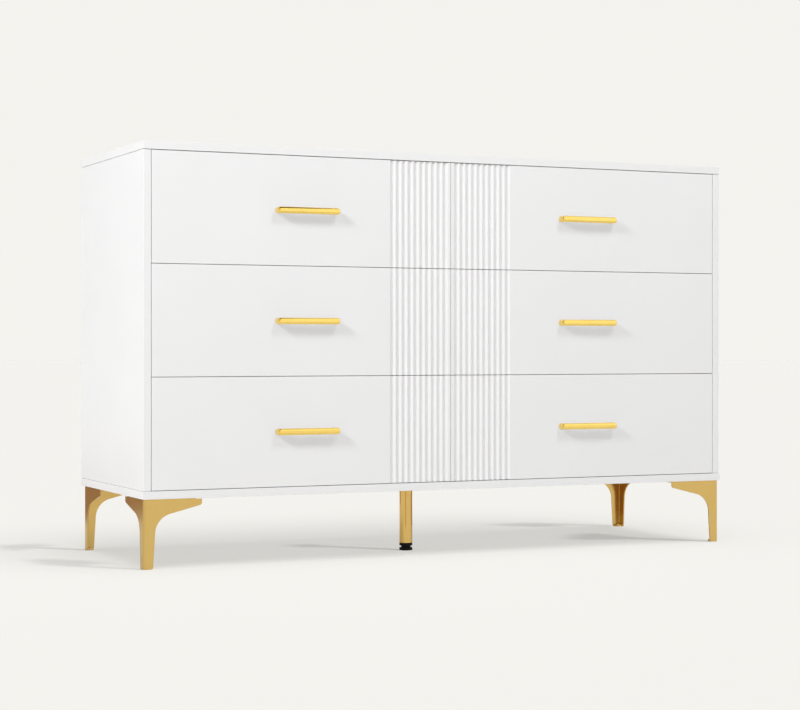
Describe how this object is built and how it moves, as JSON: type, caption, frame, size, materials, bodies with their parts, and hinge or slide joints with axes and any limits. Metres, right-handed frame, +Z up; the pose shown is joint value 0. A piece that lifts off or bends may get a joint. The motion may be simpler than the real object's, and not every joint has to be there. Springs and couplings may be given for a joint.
{
  "type": "dresser with drawers",
  "caption": "Free-standing white dresser, two columns of sliding drawers with fluted bands beside the middle, gold bar handles and slim folded gold legs.",
  "frame": {"origin": "on the floor, under the middle of the whole object's box, handles included", "axes": "+X to the right along the dresser's width, seen from the front; +Y from the front to the back; +Z up. The drawers open towards -Y."},
  "size_m": [1.2, 0.4166, 0.75],
  "materials": {
    "white_board": "smooth white matt-to-satin foil on medium-density fibreboard",
    "drawer_board": "plain white melamine on particle board",
    "white_hardboard": "thin hardboard, white on its show side",
    "gold_handle": "bright satin gold plating on a zinc casting",
    "gold_leg": "satin gold plating on folded sheet steel",
    "zinc_steel": "zinc-plated sheet steel",
    "black_plastic": "moulded black plastic"
  },
  "bodies": {
    "carcass": {"top_panel": "white_board", "bottom_panel": "white_board", "side_panel_left": "white_board", "side_panel_right": "white_board", "centre_divider": "drawer_board", "back_panel": "white_hardboard", "leg_front_left": "gold_leg", "leg_front_right": "gold_leg", "leg_back_left": "gold_leg", "leg_back_right": "gold_leg", "centre_leg": "gold_leg", "runner_bottom_left_inner": "zinc_steel", "runner_bottom_left_outer": "zinc_steel", "runner_middle_left_inner": "zinc_steel", "runner_middle_left_outer": "zinc_steel", "runner_top_left_inner": "zinc_steel", "runner_top_left_outer": "zinc_steel", "runner_bottom_right_inner": "zinc_steel", "runner_bottom_right_outer": "zinc_steel", "runner_middle_right_inner": "zinc_steel", "runner_middle_right_outer": "zinc_steel", "runner_top_right_inner": "zinc_steel", "runner_top_right_outer": "zinc_steel"},
    "drawer_bottom_left": {"drawer_bottom_left_front": "white_board", "drawer_bottom_left_handle": "gold_handle", "drawer_bottom_left_side_inner": "drawer_board", "drawer_bottom_left_side_outer": "drawer_board", "drawer_bottom_left_back": "drawer_board", "drawer_bottom_left_base": "white_hardboard"},
    "drawer_middle_left": {"drawer_middle_left_front": "white_board", "drawer_middle_left_handle": "gold_handle", "drawer_middle_left_side_inner": "drawer_board", "drawer_middle_left_side_outer": "drawer_board", "drawer_middle_left_back": "drawer_board", "drawer_middle_left_base": "white_hardboard"},
    "drawer_top_left": {"drawer_top_left_front": "white_board", "drawer_top_left_handle": "gold_handle", "drawer_top_left_side_inner": "drawer_board", "drawer_top_left_side_outer": "drawer_board", "drawer_top_left_back": "drawer_board", "drawer_top_left_base": "white_hardboard"},
    "drawer_bottom_right": {"drawer_bottom_right_front": "white_board", "drawer_bottom_right_handle": "gold_handle", "drawer_bottom_right_side_inner": "drawer_board", "drawer_bottom_right_side_outer": "drawer_board", "drawer_bottom_right_back": "drawer_board", "drawer_bottom_right_base": "white_hardboard"},
    "drawer_middle_right": {"drawer_middle_right_front": "white_board", "drawer_middle_right_handle": "gold_handle", "drawer_middle_right_side_inner": "drawer_board", "drawer_middle_right_side_outer": "drawer_board", "drawer_middle_right_back": "drawer_board", "drawer_middle_right_base": "white_hardboard"},
    "drawer_top_right": {"drawer_top_right_front": "white_board", "drawer_top_right_handle": "gold_handle", "drawer_top_right_side_inner": "drawer_board", "drawer_top_right_side_outer": "drawer_board", "drawer_top_right_back": "drawer_board", "drawer_top_right_base": "white_hardboard"},
    "levelling_foot": {"centre_leg_foot": "black_plastic"}
  },
  "joints": [
    {"name": "drawer_bottom_left_slide", "type": "slide", "parent": "carcass", "child": "drawer_bottom_left", "axis": [0, -1, 0], "range_m": [0, 0.26]},
    {"name": "drawer_middle_left_slide", "type": "slide", "parent": "carcass", "child": "drawer_middle_left", "axis": [0, -1, 0], "range_m": [0, 0.26]},
    {"name": "drawer_top_left_slide", "type": "slide", "parent": "carcass", "child": "drawer_top_left", "axis": [0, -1, 0], "range_m": [0, 0.26]},
    {"name": "drawer_bottom_right_slide", "type": "slide", "parent": "carcass", "child": "drawer_bottom_right", "axis": [0, -1, 0], "range_m": [0, 0.26]},
    {"name": "drawer_middle_right_slide", "type": "slide", "parent": "carcass", "child": "drawer_middle_right", "axis": [0, -1, 0], "range_m": [0, 0.26]},
    {"name": "drawer_top_right_slide", "type": "slide", "parent": "carcass", "child": "drawer_top_right", "axis": [0, -1, 0], "range_m": [0, 0.26]},
    {"name": "levelling_foot_travel", "type": "slide", "parent": "carcass", "child": "levelling_foot", "axis": [0, 0, -1], "range_m": [0, 0.01]}
  ]
}
